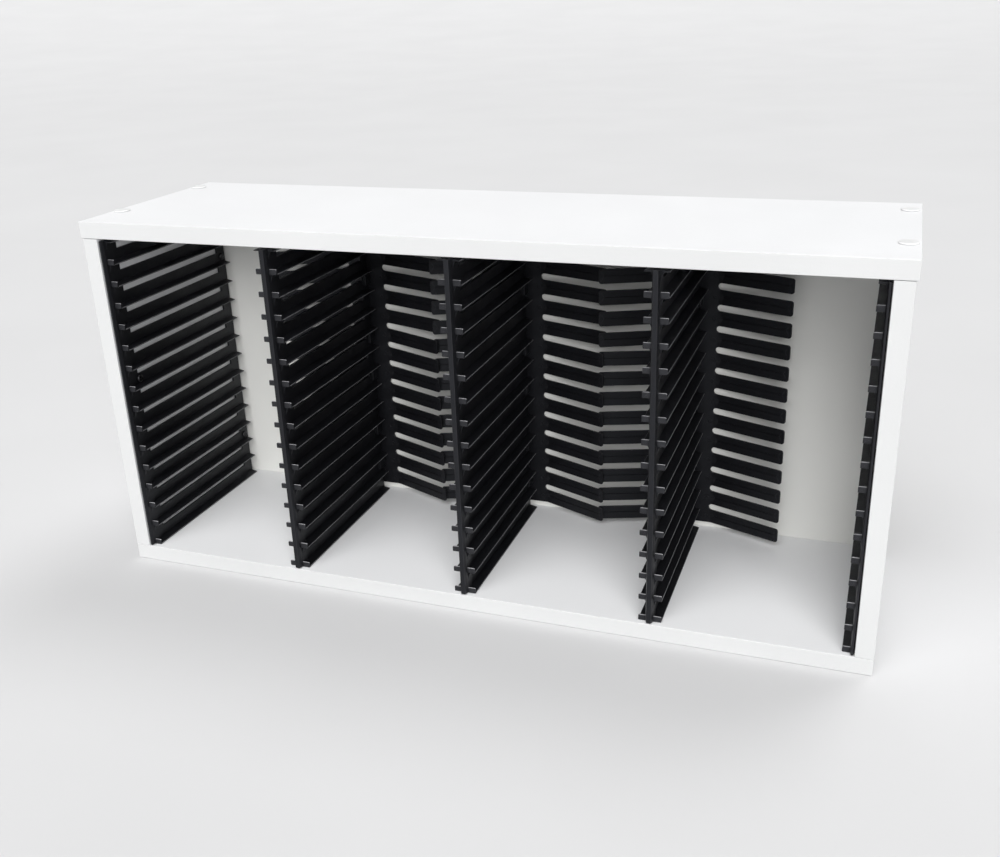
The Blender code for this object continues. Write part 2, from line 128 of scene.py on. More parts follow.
def arc_loop(corners, steps=ARC_STEPS):
    """Loop through corners given as (u, v, radius)."""
    loop = []
    for i, (u, v, radius) in enumerate(corners):
        here = Vector((u, v))
        if not radius:
            loop.append((u, v, 0.0))
            continue
        before, after = corners[i - 1], corners[(i + 1) % len(corners)]
        into = (here - Vector(before[:2])).normalized()
        out = (Vector(after[:2]) - here).normalized()
        turn = math.atan2(into.x * out.y - into.y * out.x, into.dot(out))
        side = math.copysign(radius, turn)
        start = here - into * radius * math.tan(abs(turn) / 2)
        centre = start + Vector((-into.y, into.x)) * side
        arm = start - centre
        for step in range(steps + 1):
            swing = Matrix.Rotation(turn * step / steps, 2)
            point = centre + swing @ arm
            loop.append((point.x, point.y, math.sin(math.pi * step / steps)))
    return loop


def rectangle(u0, v0, u1, v1, radius=0.0):
    return arc_loop([(u0, v0, radius), (u1, v0, radius), (u1, v1, radius), (u0, v1, radius)])


def circle(radius, points=32):
    turns = [2 * math.pi * i / points for i in range(points)]
    return [(radius * math.cos(turn), radius * math.sin(turn), 0.0) for turn in turns]


def drawn_in(loop, inset):
    """The loop moved inwards along its mitres."""
    if not inset:
        return loop
    moved = []
    for i, (u, v, mark) in enumerate(loop):
        here = Vector((u, v))
        into = (here - Vector(loop[i - 1][:2])).normalized()
        out = (Vector(loop[(i + 1) % len(loop)][:2]) - here).normalized()
        a, b = Vector((-into.y, into.x)), Vector((-out.y, out.x))
        here += (a + b) * (inset / (1 + a.dot(b)))
        moved.append((here.x, here.y, mark))
    return moved


def rim_sections(fillet, thickness):
    """(inset, height, mark) from one face of a plate to the other."""
    near = []
    for step in range(FILLET_STEPS + 1):
        turn = math.pi / 2 * step / FILLET_STEPS
        near.append((fillet * (1 - math.sin(turn)), fillet * (1 - math.cos(turn)), math.sin(2 * turn)))
    return near + [(inset, thickness - height, mark) for inset, height, mark in reversed(near)]


# Meshes

def new_mesh():
    bm = bmesh.new()
    bm.verts.layers.float.new("rim")
    return bm


def add_rings(bm, place, loop, sections):
    """Walls round a loop, or a function that draws one inset, through the sections; the end rings."""
    rim = bm.verts.layers.float["rim"]
    rings = []
    for inset, height, mark in sections:
        ring = []
        for u, v, bend in loop(inset) if callable(loop) else drawn_in(loop, inset):
            vert = bm.verts.new(place @ Vector((u, v, height)))
            vert[rim] = max(mark, 0.0 if inset else bend)
            ring.append(vert)
        rings.append(ring)
    for low, high in zip(rings, rings[1:]):
        for i in range(len(low)):
            bm.faces.new((low[i - 1], low[i], high[i], high[i - 1]))
    return rings[0], rings[-1]


def close_face(bm, rings):
    """Fill the face inside the first ring and outside the others."""
    if len(rings) == 1:
        bm.faces.new(rings[0])
        return
    edges = [bm.edges.get((ring[i - 1], ring[i])) for ring in rings for i in range(len(ring))]
    bmesh.ops.triangle_fill(bm, use_beauty=True, edges=edges)


def add_plate(bm, place, outline, sections, holes=(), sunk=()):
    """Closed plate; holes go through it, and sunk loops (loop, depth, draft) into its near face."""
    near, far = [], []
    for loop in (outline, *holes):
        first, last = add_rings(bm, place, loop, sections)
        near.append(first)
        far.append(last)
    for loop, depth, draft in sunk:
        first, last = add_rings(bm, place, loop, [(0.0, 0.0, 0.0), (draft, depth, 0.0)])
        near.append(first)
        bm.faces.new(last)
    close_face(bm, near)
    close_face(bm, far)


def axes(origin, u, v, w):
    place = Matrix((u, v, w)).transposed().to_4x4()
    place.translation = Vector(origin)
    return place


def mesh_of(bm, name):
    """Mesh of a closed shell, with its faces looking out."""
    bmesh.ops.recalc_face_normals(bm, faces=bm.faces)
    if bm.calc_volume(signed=True) < 0:
        bmesh.ops.reverse_faces(bm, faces=bm.faces)
    mesh = bpy.data.meshes.new(name)
    bm.to_mesh(mesh)
    bm.free()
    return mesh


def joined(shells):
    """One closed mesh from shells that overlap or touch; their objects go with their meshes."""
    items = [bpy.data.objects.new("shell", mesh_of(bm, "shell")) for bm in shells]
    others = bpy.data.collections.new("shells")
    for item in items[1:]:
        others.objects.link(item)
    bpy.context.collection.objects.link(items[0])
    bpy.context.collection.children.link(others)
    union = items[0].modifiers.new("union", "BOOLEAN")
    union.operation = "UNION"
    union.solver = "MANIFOLD"
    union.operand_type = "COLLECTION"
    union.collection = others
    graph = bpy.context.evaluated_depsgraph_get()
    whole = bpy.data.meshes.new_from_object(items[0].evaluated_get(graph))
    bm = bmesh.new()
    bm.from_mesh(whole)
    bpy.data.collections.remove(others)
    for mesh in [whole] + [item.data for item in items]:
        bpy.data.meshes.remove(mesh)
    return bm


def set_normals(mesh):
    """Corner normals weighted by area, so that large faces stay flat beside their rounded rims."""
    around = [[] for _ in mesh.vertices]
    for polygon in mesh.polygons:
        for index in polygon.vertices:
            around[index].append((polygon.normal.copy(), polygon.area))
    normals = []
    for polygon in mesh.polygons:
        own = polygon.normal
        for index in polygon.vertices:
            near = [normal * area for normal, area in around[index] if normal.dot(own) > SMOOTH_COS]
            normals.append(sum(near, Vector()).normalized())
    mesh.normals_split_custom_set(normals)


def add_piece(name, bm, material, nodes, body="case", band=None, axis=Z):
    """The mesh as a piece that stands for CAD nodes; with no body it is left for a blend.

    A band is the material of the faces that look across the axis; on the boards it is the edge band, whose
    darker tone is partly painted shade.
    """
    mesh = mesh_of(bm, name)
    mesh.shade_smooth()
    set_normals(mesh)
    mesh.materials.append(material)
    if band:
        mesh.materials.append(band)
        for polygon in mesh.polygons:
            polygon.material_index = int(abs(polygon.normal.dot(axis)) < FACE_COS)
    piece = bpy.data.objects.new(name, mesh)
    bpy.context.collection.objects.link(piece)
    if body:
        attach(piece, body)
    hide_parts(*nodes)
    return piece


# Shader nodes

FULL_RANGE = (0.0, 1.0)
CLOUD_LEVELS = (0.3, 0.7)
WIDE_LEVELS = (0.2, 0.8)


def add_node(tree, kind, settings=None, **inputs):
    made = tree.nodes.new(kind)
    for name, value in (settings or {}).items():
        setattr(made, name, value)
    for name, value in inputs.items():
        socket = made.inputs[name.replace("_", " ")]
        if isinstance(value, bpy.types.NodeSocket):
            tree.links.new(value, socket)
        else:
            socket.default_value = value
    return made


def new_material(name, **values):
    material = bpy.data.materials.new(name)
    material.use_nodes = True
    tree = material.node_tree
    shader = tree.nodes["Principled BSDF"]
    for key, value in values.items():
        shader.inputs[key.replace("_", " ")].default_value = value
    place = add_node(tree, "ShaderNodeTexCoord").outputs["Object"]
    return material, tree, shader, place


def noise(tree, place, scale, detail=2.0, roughness=0.5):
    made = add_node(tree, "ShaderNodeTexNoise", Vector=place, Scale=scale, Detail=detail,
                    Roughness=roughness)
    return made.outputs["Fac"]


def spread(tree, value, levels, to=FULL_RANGE):
    """The value, with what lies between two levels stretched over a range."""
    made = add_node(tree, "ShaderNodeMapRange", Value=value, From_Min=levels[0], From_Max=levels[1],
                    To_Min=to[0], To_Max=to[1])
    return made.outputs["Result"]


def patches(tree, place, layer, levels=CLOUD_LEVELS, to=FULL_RANGE):
    """Patchy value from a noise layer."""
    return spread(tree, noise(tree, place, *layer), levels, to)


def times(tree, a, b):
    made = add_node(tree, "ShaderNodeMath", {"operation": "MULTIPLY"})
    tree.links.new(a, made.inputs[0])
    tree.links.new(b, made.inputs[1])
    return made.outputs["Value"]


def mix(tree, share, a, b):
    """Colour a where share is 0, b where it is 1."""
    made = add_node(tree, "ShaderNodeMix", {"data_type": "RGBA"})
    tree.links.new(share, made.inputs[0])
    for socket, colour in ((made.inputs[6], a), (made.inputs[7], b)):
        if isinstance(colour, bpy.types.NodeSocket):
            tree.links.new(colour, socket)
        else:
            socket.default_value = (*colour, 1.0)
    return made.outputs[2]


def rim_of(tree):
    return add_node(tree, "ShaderNodeAttribute", {"attribute_name": "rim"}).outputs["Fac"]


def bump(tree, shader, layers):
    """Stack of (height, strength, distance) on the shader's normal."""
    normal = None
    for height, strength, distance in layers:
        made = add_node(tree, "ShaderNodeBump", Height=height, Strength=strength, Distance=distance)
        if normal:
            tree.links.new(normal, made.inputs["Normal"])
        normal = made.outputs["Normal"]
    tree.links.new(normal, shader.inputs["Normal"])


# Materials; a noise layer is (waves per metre, detail, roughness), and a bump (strength, distance)

BOARD_SPECULAR = 0.35
BOARD_CLOUD = (7.0, 3.0)
BOARD_SCUFF = (160.0, 4.0, 0.7)
BOARD_SCUFF_LEVELS = (0.55, 0.75)
BOARD_SMEAR = (38.0, 3.0)
BOARD_ROUGHNESS = (0.36, 0.50)
BOARD_PEARL = (850.0, 3.0, 0.6)
BOARD_PEARL_DEEP = 0.00015
BOARD_FINE = (5200.0, 1.0)
BOARD_FINE_BUMP = (0.12, 0.00004)

# Dull, bright and worn colour, and strength of the pearl texture
BOARD_LOOKS = {
    "white_melamine": ((0.845, 0.85, 0.86), (0.875, 0.88, 0.89), (0.70, 0.70, 0.69), 0.25),
    # The edge band has its own slightly darker tone, and is darkened further as painted shade on the board
    # edges
    "white_edge_band_with_painted_shade": ((0.63, 0.635, 0.635), (0.66, 0.665, 0.665), (0.53, 0.53, 0.52), 0.50),
    "white_hardboard": ((0.84, 0.84, 0.81), (0.87, 0.87, 0.84), (0.66, 0.64, 0.60), 0.18),
}

RAIL_SPECULAR = 0.32
COMB_SPECULAR = 0.25
BLACK_TINT = (0.90, 0.93, 1.0, 1.0)
BLACK_DARK = (0.0046, 0.0047, 0.0058)
BLACK_LIGHT = (0.0086, 0.0088, 0.0106)
# Lighter plain edges: partly wear, partly painted highlight
BLACK_WORN_AND_SHEEN = (0.030, 0.030, 0.033)
# Painted highlight colour for the lip tops and ledge edges
BLACK_PAINTED_HIGHLIGHT = (0.55, 0.55, 0.57)
BLACK_DUSTY = (0.08, 0.08, 0.08)
BLACK_CLOUD = (24.0, 4.0, 0.6)
BLACK_EDGE = (210.0, 3.0)
BLACK_EDGE_LEVELS = (0.25, 0.7)
BLACK_EDGE_SHARE = (0.3, 1.0)
BLACK_HIGHLIGHT_NOISE = (380.0, 3.0)
BLACK_HIGHLIGHT_LEVELS = (0.2, 0.6)
BLACK_HIGHLIGHT_SHARE = (0.55, 1.0)
BLACK_DUST = (1400.0, 1.0)
BLACK_DUST_LEVELS = (0.80, 0.86)
BLACK_STREAK = (55.0, 3.0)
BLACK_ROUGHNESS = (0.36, 0.52)
BLACK_GRAIN = (1500.0, 2.0, 0.6)
BLACK_GRAIN_BUMP = (0.45, 0.00012)
BLACK_WAVE = (620.0, 2.0)
BLACK_WAVE_BUMP = (0.30, 0.0003)

CAP_DULL = (0.79, 0.80, 0.80)
CAP_BRIGHT = (0.83, 0.83, 0.83)
CAP_CLOUD = (120.0, 2.0)
CAP_ROUGHNESS = (0.26, 0.36)
CAP_GRAIN = (900.0, 2.0)
CAP_GRAIN_BUMP = (0.06, 0.0001)

# Dark and light colour, and range of roughness
ZINC_LOOK = ((0.45, 0.45, 0.46), (0.66, 0.66, 0.67), (0.28, 0.42))
BLACK_ZINC_LOOK = ((0.03, 0.03, 0.033), (0.09, 0.09, 0.095), (0.30, 0.44))
METAL_CLOUD = (700.0, 3.0, 0.6)
METAL_GRAIN = (2600.0, 2.0)
METAL_GRAIN_BUMP = (0.15, 0.00006)

FLOOR_DULL = (0.64, 0.64, 0.645)
FLOOR_BRIGHT = (0.66, 0.66, 0.665)
FLOOR_ROUGHNESS = 0.9
FLOOR_CLOUD = (3.0, 3.0)
FLOOR_GRAIN = (300.0, 2.0)
FLOOR_GRAIN_BUMP = (0.05, 0.0005)


def white_board(name, dull, bright, worn, peel):
    """Melamine face or edge band: cloudy white, scuffed arrises, fine pearl texture."""
    material, tree, shader, place = new_material(name, Specular_IOR_Level=BOARD_SPECULAR)
    cloud = patches(tree, place, BOARD_CLOUD)
    scuff = times(tree, rim_of(tree), patches(tree, place, BOARD_SCUFF, BOARD_SCUFF_LEVELS))
    body = mix(tree, cloud, dull, bright)
    tree.links.new(mix(tree, scuff, body, worn), shader.inputs["Base Color"])
    smear = patches(tree, place, BOARD_SMEAR, WIDE_LEVELS, BOARD_ROUGHNESS)
    tree.links.new(smear, shader.inputs["Roughness"])
    bump(tree, shader, [(noise(tree, place, *BOARD_PEARL), peel, BOARD_PEARL_DEEP),
                        (noise(tree, place, *BOARD_FINE), *BOARD_FINE_BUMP)])
    return material


def black_plastic(name, specular):
    """Moulded plastic: plain edges are a little lighter, partly from wear and partly as painted highlight,
    and lip tops and ledge edges get a bright painted highlight.
    """
    material, tree, shader, place = new_material(name, Specular_IOR_Level=specular, Specular_Tint=BLACK_TINT)
    rim = rim_of(tree)
    cloud = patches(tree, place, BLACK_CLOUD)
    edge = times(tree, rim, patches(tree, place, BLACK_EDGE, BLACK_EDGE_LEVELS, BLACK_EDGE_SHARE))
    # Bright painted highlight where the rim mark runs above 1
    painted_highlight = times(tree, spread(tree, rim, (1.0, LIP_PAINTED_HIGHLIGHT)),
                patches(tree, place, BLACK_HIGHLIGHT_NOISE, BLACK_HIGHLIGHT_LEVELS, BLACK_HIGHLIGHT_SHARE))
    dust = patches(tree, place, BLACK_DUST, BLACK_DUST_LEVELS)
    body = mix(tree, cloud, BLACK_DARK, BLACK_LIGHT)
    # Plain edges lightened, partly wear and partly painted highlight
    worn = mix(tree, edge, body, BLACK_WORN_AND_SHEEN)
    with_highlight = mix(tree, painted_highlight, worn, BLACK_PAINTED_HIGHLIGHT)
    tree.links.new(mix(tree, dust, with_highlight, BLACK_DUSTY), shader.inputs["Base Color"])
    streak = patches(tree, place, BLACK_STREAK, WIDE_LEVELS, BLACK_ROUGHNESS)
    tree.links.new(streak, shader.inputs["Roughness"])
    bump(tree, shader, [(noise(tree, place, *BLACK_GRAIN), *BLACK_GRAIN_BUMP),
                        (noise(tree, place, *BLACK_WAVE), *BLACK_WAVE_BUMP)])
    return material


def cap_plastic():
    material, tree, shader, place = new_material("white_cap_plastic")
    cloud = patches(tree, place, CAP_CLOUD)
    tree.links.new(mix(tree, cloud, CAP_DULL, CAP_BRIGHT), shader.inputs["Base Color"])
    tree.links.new(spread(tree, cloud, FULL_RANGE, CAP_ROUGHNESS), shader.inputs["Roughness"])
    bump(tree, shader, [(noise(tree, place, *CAP_GRAIN), *CAP_GRAIN_BUMP)])
    return material


def screw_metal(name, dark, light, roughness):
    material, tree, shader, place = new_material(name, Metallic=1.0)
    cloud = patches(tree, place, METAL_CLOUD)
    body = mix(tree, cloud, dark, light)
    tree.links.new(mix(tree, rim_of(tree), body, light), shader.inputs["Base Color"])
    tree.links.new(spread(tree, cloud, FULL_RANGE, roughness), shader.inputs["Roughness"])
    bump(tree, shader, [(noise(tree, place, *METAL_GRAIN), *METAL_GRAIN_BUMP)])
    return material


def floor_paint():
    material, tree, shader, place = new_material("pale_floor", Roughness=FLOOR_ROUGHNESS)
    cloud = patches(tree, place, FLOOR_CLOUD)
    tree.links.new(mix(tree, cloud, FLOOR_DULL, FLOOR_BRIGHT), shader.inputs["Base Color"])
    bump(tree, shader, [(noise(tree, place, *FLOOR_GRAIN), *FLOOR_GRAIN_BUMP)])
    return material


# Boards

def groove_depths():
    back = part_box("back_panel")
    return back[0].y - FIT_GAP, back[1].y + FIT_GAP


def make_flat_board(name, material, band, inner_z, outwards):
    """Top or bottom board, drawn from its inner face, which has the groove for the back panel."""
    low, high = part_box(name)
    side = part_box("right_side_panel")[0].x + GROOVE_DEEP
    outline = rectangle(low.x, low.y, high.x, high.y, BOARD_ROUND)
    start, end = groove_depths()
    groove = (rectangle(-side, start, side, end), GROOVE_DEEP, 0.0)
    bm = new_mesh()
    add_plate(bm, axes((0, 0, inner_z), X, Y, Z * outwards), outline,
              rim_sections(BOARD_ROUND, high.z - low.z), sunk=[groove])
    add_piece(name + "_board", bm, material, [name], band=band)


def make_side_board(side, sign, material, band):
    """Drawn in plan, from its inner face, with the groove for the back panel."""
    name = side + "_side_panel"
    low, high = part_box(name)
    inner = min(abs(low.x), abs(high.x))
    wide = high.x - low.x
    start, end = groove_depths()
    corners = [(0.0, low.y, BOARD_ROUND), (wide, low.y, BOARD_ROUND), (wide, high.y, BOARD_ROUND),
               (0.0, high.y, BOARD_ROUND), (0.0, end, 0.0), (GROOVE_DEEP, end, 0.0),
               (GROOVE_DEEP, start, 0.0), (0.0, start, 0.0)]
    bm = new_mesh()
    add_plate(bm, axes((sign * inner, 0, low.z), X * sign, Y, Z), arc_loop(corners),
              rim_sections(FIT_GAP / 2, high.z - low.z))
    add_piece(name + "_board", bm, material, [name], band=band, axis=X)


def make_back_board(material):
    low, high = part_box("back_panel")
    bm = new_mesh()
    add_plate(bm, axes((0, low.y, 0), X, Z, Y), rectangle(low.x, low.z, high.x, high.z),
              rim_sections(FIT_GAP / 2, high.y - low.y))
    add_piece("back_panel_board", bm, material, ["back_panel"])


def make_boards(material, band, hardboard):
    make_flat_board("top_panel", material, band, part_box("top_panel")[0].z, 1)
    make_flat_board("bottom_panel", material, band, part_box("bottom_panel")[1].z, -1)
    for side, sign in SIDES.items():
        make_side_board(side, sign, material, band)
    make_back_board(hardboard)


# Rails

RAIL_LOW, RAIL_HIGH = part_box("left_side_rail")
STOP_Y = LIP_Y + LIP_T


def ledge_z(row):
    return RAIL_LOW.z + row * SLOT_PITCH


def across(x0, depth):
    """Axes of a section that is drawn in (x, z) about the rail's middle and runs back."""
    return axes((x0, FRONT + depth, 0), X, Z, Y)


def add_post(bm, x0, left, right):
    """Post with slanting front corners and a rounded foot."""
    def outline(inset):
        near, far = left + inset, right - inset
        front, slant, back = inset, inset + POST_SLANT, POST_DEEP - inset
        return arc_loop([(near + POST_CHAMFER, front, PLASTIC_ROUND),
                         (far - POST_CHAMFER, front, PLASTIC_ROUND),
                         (far, slant, PLASTIC_ROUND), (far, back, 0.0),
                         (near, back, 0.0), (near, slant, PLASTIC_ROUND)])

    tall = RAIL_HIGH.z - RAIL_LOW.z
    foot = rim_sections(POST_TIP, tall)[:FILLET_STEPS + 1]
    head = rim_sections(PLASTIC_ROUND, tall)[FILLET_STEPS + 1:]
    add_plate(bm, axes((x0, RAIL_LOW.y, RAIL_LOW.z), X, Y, Z), outline, foot + head)


def add_web(bm, x0, left, right):
    front, back = FRONT + LIP_Y, RAIL_HIGH.y
    outline = rectangle(front, RAIL_LOW.z, back, RAIL_HIGH.z)
    start, end = FRONT + STOP_Y + WINDOW_SETBACK, back - WINDOW_REAR
    windows = []
    for row in range(1, SLOTS + 1):
        hole = rectangle(start, ledge_z(row) - WINDOW_H, end, ledge_z(row), 2 * PLASTIC_ROUND)
        windows.append(hole[::-1])
    add_plate(bm, axes((x0 + left, 0, 0), Y, Z, X), outline,
              rim_sections(PLASTIC_ROUND, right - left), holes=windows)


def add_ledge(bm, x0, left, right, z, deep):
    """Ledge whose upper side falls towards its rounded outer edges, which carry a painted highlight up to
    the lip.
    """
    corners = [(left, z, LEDGE_UNDER), (right, z, LEDGE_UNDER)]
    for x in (right, left):
        if abs(x) > WEB_HALF:
            rise = [(x, z + LEDGE_EDGE, LEDGE_NOSE), (math.copysign(WEB_HALF, x), z + LEDGE_T, 0.0)]
        else:
            rise = [(x, z + LEDGE_T, 0.0)]
        corners += rise if x == right else rise[::-1]
    # The upper outer edges carry a painted highlight
    outline = [(u, v, LEDGE_PAINTED_HIGHLIGHT * mark if v > z else mark) for u, v, mark in arc_loop(corners)]
    ends = rim_sections(PLASTIC_ROUND, deep)
    behind_lip = (0.0, LIP_T, 0.0)
    sections = ends[:FILLET_STEPS + 1] + [behind_lip] + ends[FILLET_STEPS + 1:]
    add_plate(bm, across(x0, LIP_Y + FIT_GAP), outline, sections)


def add_lip(bm, x0, left, right, z, post):
    """Lip across the post; it has points beside the post, so that its painted highlight runs up to there."""
    def corner(x, height, radius):
        return (x, z + height, radius if x else 0.0)

    beside = [x for x in (post[0] - PAINTED_HIGHLIGHT_END, post[1] + PAINTED_HIGHLIGHT_END) if left < x < right]
    below = [(x, z, 0.0) for x in beside]
    above = [(x, z + LIP_H, 0.0) for x in reversed(beside)]
    loop = arc_loop([corner(left, 0.0, LIP_ROUND / 2), *below, corner(right, 0.0, LIP_ROUND / 2),
                     corner(right, LIP_H, LIP_ROUND), *above, corner(left, LIP_H, LIP_ROUND)])
    top = z + LIP_H - LIP_ROUND / 2
    # The lip's top carries a bright painted highlight
    outline = [(u, v, LIP_PAINTED_HIGHLIGHT if v > top else mark) for u, v, mark in loop]
    face, *rest = rim_sections(LIP_EDGE, LIP_T)
    # The front face's edge is lightened, partly wear and partly painted highlight
    add_plate(bm, across(x0, LIP_Y), outline, [(*face[:2], LIP_FACE_WEAR_AND_SHEEN), *rest])


def add_gusset(bm, x0, sign, half, wide, z):
    """Hollow corner piece between the post and the underside of a ledge."""
    inner, outer, top = half - FIT_GAP, half + wide, z + FIT_GAP
    curve = []
    for step in range(GUSSET_STEPS + 1):
        down = step / GUSSET_STEPS
        curve.append((half + wide * (1 - down) ** GUSSET_HOLLOW, z - GUSSET_H * down, 0.0))
    points = [(inner, z - GUSSET_H, 0.0), *reversed(curve), (outer, top, 0.0), (inner, top, 0.0)]
    place = axes((x0, FRONT + STOP_Y, 0), X * sign, Z, Y)
    add_plate(bm, place, points, rim_sections(FIT_GAP / 2, GUSSET_T))


def add_boss(bm, x0, row):
    middle = ledge_z(row) + (LEDGE_T + SLOT_PITCH) / 2
    start = RAIL_HIGH.y - BOSS_DEEP
    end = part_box("back_panel")[0].y - FIT_GAP
    outline = rectangle(-BOSS_HALF, middle - BOSS_HALF, BOSS_HALF, middle + BOSS_HALF, PLASTIC_ROUND)
    add_plate(bm, axes((x0, start, 0), X, Z, Y), outline, rim_sections(PLASTIC_ROUND, end - start))


def make_rail(name, material, x0, reach, post_half, gusset_w, bosses=()):
    """Rail about x0; reach gives the length of its ledges to each side."""
    def span(half):
        return (-half if reach[-1] else 0.0, half if reach[1] else 0.0)

    left, right = -reach[-1], reach[1]
    deep = RAIL_HIGH.y - LEDGE_REAR - (FRONT + LIP_Y + FIT_GAP)
    shells = []

    def add(part, *values):
        shells.append(new_mesh())
        part(shells[-1], x0, *values)

    add(add_post, *span(post_half))
    add(add_web, *span(WEB_HALF))
    for row in range(SLOTS + 1):
        add(add_ledge, left, right, ledge_z(row), deep)
        if row < SLOTS:
            add(add_lip, left, right, ledge_z(row), span(post_half))
        if row:
            for sign in (s for s in (-1, 1) if reach[s]):
                add(add_gusset, sign, post_half, gusset_w, ledge_z(row))
    for row in bosses:
        add(add_boss, row)
    add_piece(name + "_moulding", joined(shells), material, [name])


def make_rails(material):
    for side, sign in SIDES.items():
        low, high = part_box(side + "_side_rail")
        x0 = low.x if sign < 0 else high.x
        reach = {sign: 0.0, -sign: high.x - low.x}
        make_rail(side + "_side_rail", material, x0, reach, SIDE_POST_W, SIDE_GUSSET_W)
    for name in DIVIDERS:
        low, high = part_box(name + "_divider_rail")
        half = (high.x - low.x) / 2
        make_rail(name + "_divider_rail", material, (low.x + high.x) / 2, {-1: half, 1: half}, POST_HALF,
                  GUSSET_W, BOSS_ROWS)


# Spring combs, drawn flat in (out from the spine's middle, up) and then bent

SPINE_LOW, SPINE_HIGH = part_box("middle_comb_spine")
COMB_T = SPINE_HIGH.y - SPINE_LOW.y
FINGER_GAP = SLOT_PITCH - FINGER_TALL
SEAM = 0.00005
HALF_BEND = 0.0015
BEND_CUTS = (-1.0, -0.5, 0.0, 0.5, 1.0)
ROUND_SHARE = 0.98
GROOVE_UP = 0.55
GROOVE_HALF = 0.00035
GROOVE_DRAFT = GROOVE_HALF / 3
GROOVE_SUNK = 0.0005
GROOVE_START = 0.0030
GROOVE_END = 0.0035
MARK_OUT = 0.0127
MARK_UP = FINGER_TALL / 2
MARK_R = 0.0016
MARK_POINTS = 20
MARK_SUNK = 0.0003


def comb_outline():
    tip = BEND_OUT + FINGER_LONG
    root = FINGER_GAP / 2 * ROUND_SHARE
    corners = [(SEAM, SPINE_LOW.z, 0.0)]
    for row in range(SLOTS):
        z = SPINE_LOW.z + row * SLOT_PITCH
        if row:
            corners.append((SLOT_ROOT, z, root))
        corners += [(tip, z, TIP_ROUND), (tip, z + FINGER_TALL, TIP_ROUND)]
        if row < SLOTS - 1:
            corners.append((SLOT_ROOT, z + FINGER_TALL, root))
    return arc_loop(corners + [(SEAM, SPINE_HIGH.z, 0.0)])


def comb_details():
    """Grooves along the fingers and round marks on the strip, sunk into the front."""
    start, end = BEND_OUT + GROOVE_START, BEND_OUT + FINGER_LONG - GROOVE_END
    sunk = []
    for row in range(SLOTS):
        z = SPINE_LOW.z + row * SLOT_PITCH
        middle = z + GROOVE_UP * FINGER_TALL
        groove = rectangle(start, middle - GROOVE_HALF, end, middle + GROOVE_HALF, GROOVE_HALF * ROUND_SHARE)
        sunk.append((groove, GROOVE_SUNK, GROOVE_DRAFT))
        mark = [(u + MARK_OUT, v + z + MARK_UP, 0.0) for u, v, _ in circle(MARK_R, MARK_POINTS)]
        sunk.append((mark, MARK_SUNK, MARK_SUNK))
    return sunk


def bent(out, back, angle):
    """A point of the flat comb, back from its middle, after its finger is bent forwards."""
    start = BEND_OUT - HALF_BEND
    along = out - start
    if along <= 0:
        return out, back
    curve = min(along, 2 * HALF_BEND)
    turn = angle * curve / (2 * HALF_BEND)
    radius = 2 * HALF_BEND / angle
    rest = along - curve
    return (start + radius * math.sin(turn) + rest * math.cos(turn) + back * math.sin(turn),
            back * math.cos(turn) - radius * (1 - math.cos(turn)) - rest * math.sin(turn))


def flat_comb():
    """Half of a comb before it is bent, cut along the lines where it bends."""
    bm = new_mesh()
    add_plate(bm, Matrix.Identity(4), comb_outline(), rim_sections(PLASTIC_ROUND, COMB_T),
              sunk=comb_details())
    for line in (HINGE_OUT, BEND_OUT):
        for cut in BEND_CUTS:
            geometry = bm.verts[:] + bm.edges[:] + bm.faces[:]
            point = (line + cut * HALF_BEND, 0, 0)
            bmesh.ops.bisect_plane(bm, geom=geometry, plane_co=point, plane_no=X)
    return bm


def make_half_comb(name, side, sign, angles, material):
    low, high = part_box(name + "_comb_spine")
    x0, middle = (low.x + high.x) / 2, (low.y + high.y) / 2
    bm = flat_comb()
    for vert in bm.verts:
        out, up, deep = vert.co
        row = int((up - low.z + FINGER_GAP / 2) / SLOT_PITCH)
        out, back = bent(out, deep - COMB_T / 2, angles[min(max(row, 0), SLOTS - 1)])
        vert.co = (x0 + sign * out, middle + back, up)
    fingers = f"{name}_comb_{side}_fingers"
    piece = add_piece(f"{name}_comb_{side}_half", bm, material,
                      [name + "_comb_spine", fingers], None)
    ends = [(x0 + sign * (HINGE_OUT + cut * HALF_BEND), middle, low.z) for cut in (-1, 1)]
    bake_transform(piece, "case", fingers, *ends)


def make_combs(material):
    for name in DIVIDERS:
        for side, sign in SIDES.items():
            if side == name:
                angles = [FREE_ANGLE] * SLOTS
            else:
                upper, lower = (FRONT_ANGLE, REAR_ANGLE) if sign < 0 else (REAR_ANGLE, FRONT_ANGLE)
                angles = [upper if row >= CROSSING_ROW else lower for row in range(SLOTS)]
            make_half_comb(name, side, sign, angles, material)


# Caps and screws; a profile is (inset, depth, mark) from the crown down

CAP_POINTS = 48
CAP_PROFILE = ((0.0052, 0.0, 0.0), (0.0036, 0.00004, 0.0), (0.0018, 0.00014, 0.0), (0.0006, 0.00027, 0.3),
               (0.0002, 0.00042, 1.0), (0.0, 0.00062, 0.3), (0.0, 0.0011, 0.0))
PAN_R = 0.003
PAN_TALL = 0.0014
PAN_SHARES = ((0.40, 0.0, 0.0), (0.20, 0.10, 0.3), (0.06, 0.32, 1.0), (0.0, 0.62, 0.3), (0.0, 1.0, 0.0))
CROSS_ARM = 0.0016
CROSS_HALF = 0.0004
CROSS_DEEP = 0.0008
SMALL_SHANK_R = 0.0014
SMALL_SHANK_POINTS = 16
SMALL_SHANK_ROUND = 0.0003
HEAD_TALL = 0.004
HEAD_ROUND = 0.0003
SOCKET_R = 0.0024
SOCKET_SIDES = 6
SOCKET_DEEP = 0.0022
SHANK_R = 0.0025
SHANK_POINTS = 20
SHANK_ROUND = 0.0006
SHANK_START = 0.8 * HEAD_TALL
RECESS_DRAFT = 0.0001


